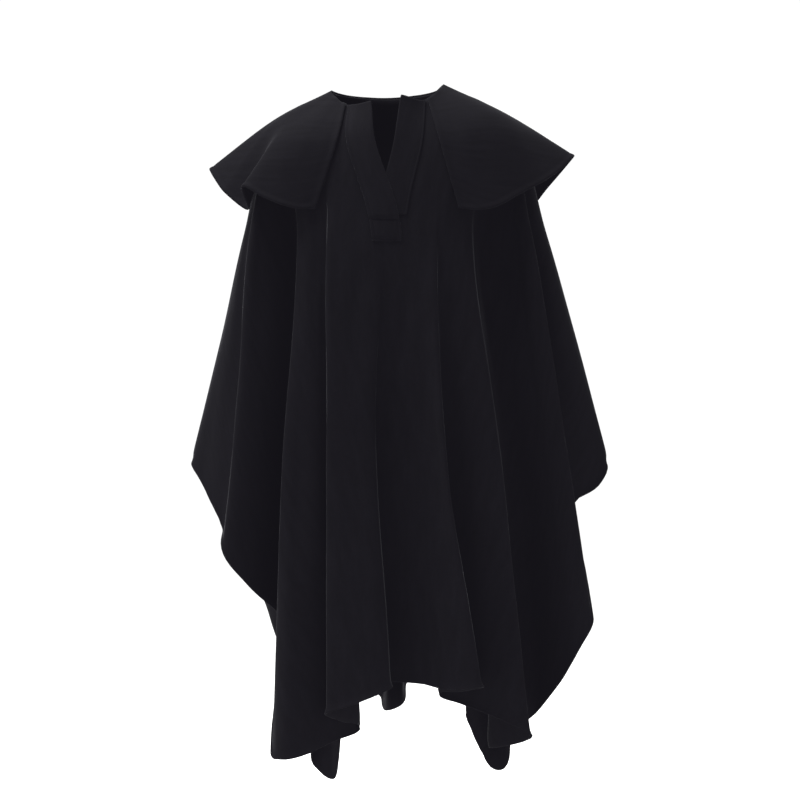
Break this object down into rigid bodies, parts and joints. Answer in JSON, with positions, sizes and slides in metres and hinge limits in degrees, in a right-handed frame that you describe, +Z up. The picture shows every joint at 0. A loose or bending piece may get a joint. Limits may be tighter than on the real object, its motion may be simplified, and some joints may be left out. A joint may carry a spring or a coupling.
{
  "type": "cloak",
  "caption": "Heavy black wool poncho cape in its worn form, with a flared capelet collar and a short crossed placket at the neck.",
  "frame": {"origin": "centre of the neck's base, where the cape rests on the wearer's neck and shoulders", "axes": "+Z up along the wearer's spine, -Y the way the wearer faces, +X to the wearer's left"},
  "size_m": [0.753, 0.5305, 1.2831],
  "materials": {
    "wool": "matt black felted wool with a short nap"
  },
  "bodies": {
    "root": {"front_panel": "wool", "back_panel": "wool", "capelet": "wool", "placket_upper": "wool", "placket_under": "wool"}
  },
  "joints": []
}
